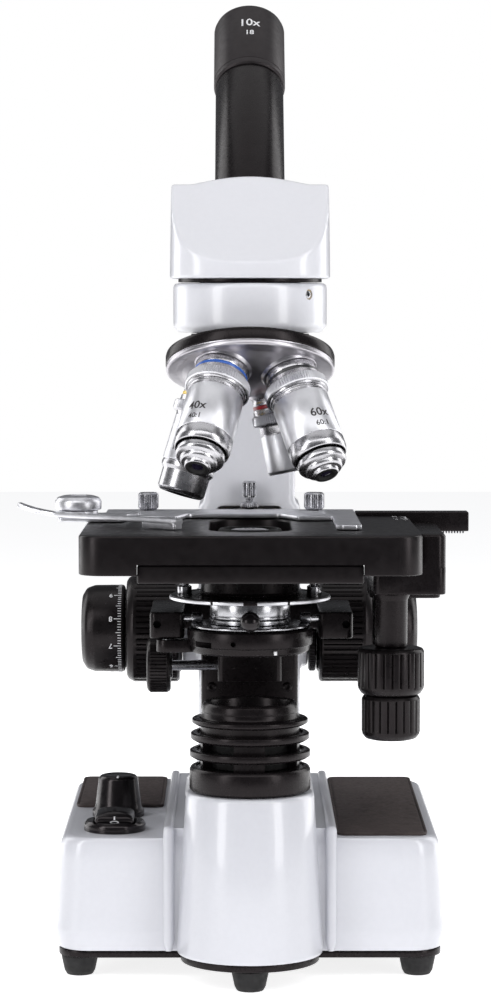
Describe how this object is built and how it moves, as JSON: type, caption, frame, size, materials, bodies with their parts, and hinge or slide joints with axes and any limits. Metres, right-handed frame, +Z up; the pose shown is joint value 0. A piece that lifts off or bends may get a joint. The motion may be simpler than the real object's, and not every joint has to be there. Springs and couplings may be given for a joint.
{
  "type": "compound microscope",
  "caption": "Upright laboratory microscope with tilted monocular tube, revolving nosepiece, mechanical stage, condenser and base lamp.",
  "frame": {"origin": "centre of the bounding box at table level, under the feet", "axes": "+Z up along the optical axis, -Y towards the open front, +Y towards the arm and the person looking in, +X to the right seen from the front"},
  "size_m": [0.1764, 0.2074, 0.3762],
  "materials": {
    "white_paint": "gloss white enamel",
    "black_anodised": "satin black",
    "black_plastic": "satin black",
    "pad": "matt, fine grain",
    "foot_rubber": "matt",
    "steel": "turned, satin",
    "chrome": "polished",
    "satin_aluminium": "satin",
    "optical_glass": "polished",
    "brass": "plain",
    "circuit_board": "solder mask"
  },
  "bodies": {
    "base": {"base_housing": "white_paint", "base_plate": "black_anodised", "foot_front": "foot_rubber", "foot_left": "foot_rubber", "foot_right": "foot_rubber", "foot_rear_left": "foot_rubber", "foot_rear_right": "foot_rubber", "pad_left": "pad", "pad_right": "pad", "power_inlet": "black_plastic", "switch_body": "black_plastic", "lamp_housing": "black_plastic", "lamp_lens": "optical_glass", "led_board": "circuit_board", "arm": "white_paint", "head_clamp_screw": "brass", "nosepiece_mount": "black_anodised"},
    "rocker": {"switch_rocker": "black_plastic"},
    "dimmer": {"brightness_knob": "black_plastic"},
    "coarse_knobs": {"coarse_knob_left": "black_plastic", "coarse_knob_right": "black_plastic"},
    "fine_knobs": {"fine_knob_left": "black_plastic", "fine_knob_right": "black_plastic"},
    "tension_collar": {"tension_collar": "black_plastic"},
    "stage_carriage": {"focus_rack": "brass", "stage_carriage": "black_anodised", "stage_lower_plate": "black_anodised", "stop_screw": "steel", "stop_screw_nut": "steel"},
    "stage_y": {"stage_upper_plate": "black_anodised", "stage_drive_housing": "black_anodised"},
    "stage_y_knob": {"stage_y_knob": "black_plastic"},
    "stage_x_knob": {"stage_x_knob": "black_plastic"},
    "stage_x": {"x_rail": "black_anodised", "specimen_holder": "satin_aluminium", "holder_thumbscrew_left": "steel", "holder_thumbscrew_right": "steel", "finger_pivot_cap": "steel"},
    "slide_finger": {"slide_finger": "satin_aluminium"},
    "condenser": {"condenser_carrier": "black_anodised", "condenser_head": "black_anodised", "condenser_lens": "optical_glass", "condenser_cell": "chrome", "iris_leaves": "black_anodised"},
    "iris_lever": {"iris_lever": "black_anodised"},
    "filter_holder": {"filter_holder": "black_anodised"},
    "condenser_knob": {"condenser_knob": "black_plastic"},
    "turret": {"nosepiece_turret": "steel", "objective_4x": "satin_aluminium", "objective_10x": "satin_aluminium", "objective_40x": "satin_aluminium", "objective_60x": "satin_aluminium"},
    "nose_40x": {"objective_40x_nose": "chrome"},
    "nose_60x": {"objective_60x_nose": "chrome"},
    "head": {"head_housing": "white_paint", "head_prism": "optical_glass", "eyepiece_tube": "black_anodised"},
    "eyepiece": {"eyepiece_body": "black_plastic", "eye_lens": "optical_glass"}
  },
  "joints": [
    {"name": "power_rocker", "type": "hinge", "parent": "base", "child": "rocker", "pos_m": [-0.04995, -0.02165, 0.054], "axis": [1, 0, 0], "range_deg": [-12, 0]},
    {"name": "brightness_turn", "type": "hinge", "parent": "base", "child": "dimmer", "pos_m": [-0.04975, 0.00935, 0.058], "axis": [0, 0, -1], "range_deg": [0, 270]},
    {"name": "focus_slide", "type": "slide", "parent": "base", "child": "stage_carriage", "axis": [0, 0, 1], "range_m": [-0.01, 0]},
    {"name": "coarse_turn", "type": "hinge", "parent": "base", "child": "coarse_knobs", "pos_m": [0.00225, 0.04635, 0.1257], "axis": [1, 0, 0], "range_deg": [0, 84]},
    {"name": "fine_turn", "type": "hinge", "parent": "base", "child": "fine_knobs", "pos_m": [0.00225, 0.04635, 0.1257], "axis": [1, 0, 0], "range_deg": [-1800, 1800]},
    {"name": "tension_turn", "type": "hinge", "parent": "base", "child": "tension_collar", "pos_m": [0.02775, 0.04635, 0.1257], "axis": [1, 0, 0], "range_deg": [0, 60]},
    {"name": "stage_y_slide", "type": "slide", "parent": "stage_carriage", "child": "stage_y", "axis": [0, 1, 0], "range_m": [-0.016, 0.01]},
    {"name": "stage_y_knob_turn", "type": "hinge", "parent": "stage_y", "child": "stage_y_knob", "pos_m": [0.05525, -0.05165, 0.12], "axis": [0, 0, 1], "range_deg": [-142, 90]},
    {"name": "stage_x_slide", "type": "slide", "parent": "stage_y", "child": "stage_x", "axis": [1, 0, 0], "range_m": [-0.03, 0.02]},
    {"name": "stage_x_knob_turn", "type": "hinge", "parent": "stage_y", "child": "stage_x_knob", "pos_m": [0.05525, -0.05165, 0.102], "axis": [0, 0, 1], "range_deg": [-265, 177]},
    {"name": "slide_finger_swing", "type": "hinge", "parent": "stage_x", "child": "slide_finger", "pos_m": [-0.06345, -0.02665, 0.178], "axis": [0, 0, 1], "range_deg": [-20, 0], "stiffness_Nm_per_rad": 0.05, "springref_deg": 14.32},
    {"name": "condenser_slide", "type": "slide", "parent": "stage_carriage", "child": "condenser", "axis": [0, 0, 1], "range_m": [-0.008, 0]},
    {"name": "condenser_knob_turn", "type": "hinge", "parent": "condenser", "child": "condenser_knob", "pos_m": [-0.03375, 0.00035, 0.1159], "axis": [1, 0, 0], "range_deg": [0, 92]},
    {"name": "iris_turn", "type": "hinge", "parent": "condenser", "child": "iris_lever", "pos_m": [0.00225, -0.04165, 0.138], "axis": [0, 0, 1], "range_deg": [-30, 30]},
    {"name": "filter_swing", "type": "hinge", "parent": "condenser", "child": "filter_holder", "pos_m": [-0.02875, -0.04165, 0.128], "axis": [0, 0, 1], "range_deg": [-80, 0]},
    {"name": "turret_turn", "type": "hinge", "parent": "base", "child": "turret", "pos_m": [0.00225, -0.05566, 0.23563], "axis": [0, -0.3502, -0.9367], "continuous": true},
    {"name": "nose_40x_spring", "type": "slide", "parent": "turret", "child": "nose_40x", "axis": [0.2009, 0.5967, 0.7769], "range_m": [0, 0.0025], "stiffness_N_per_m": 800, "springref_m": -0.002},
    {"name": "nose_60x_spring", "type": "slide", "parent": "turret", "child": "nose_60x", "axis": [-0.2869, 0.5162, 0.807], "range_m": [0, 0.0025], "stiffness_N_per_m": 800, "springref_m": -0.002},
    {"name": "head_swivel", "type": "hinge", "parent": "base", "child": "head", "pos_m": [0.00225, -0.04165, 0.262], "axis": [0, 0, 1], "continuous": true},
    {"name": "eyepiece_draw", "type": "slide", "parent": "head", "child": "eyepiece", "axis": [0, 0.7071, 0.7071], "range_m": [0, 0.026]}
  ],
  "couplings": [
    {"joint": "coarse_turn", "follows": "focus_slide", "rad_per_m": -144.9},
    {"joint": "stage_y_knob_turn", "follows": "stage_y_slide", "rad_per_m": 153.8},
    {"joint": "stage_x_knob_turn", "follows": "stage_x_slide", "rad_per_m": 153.8},
    {"joint": "condenser_knob_turn", "follows": "condenser_slide", "rad_per_m": -200}
  ]
}
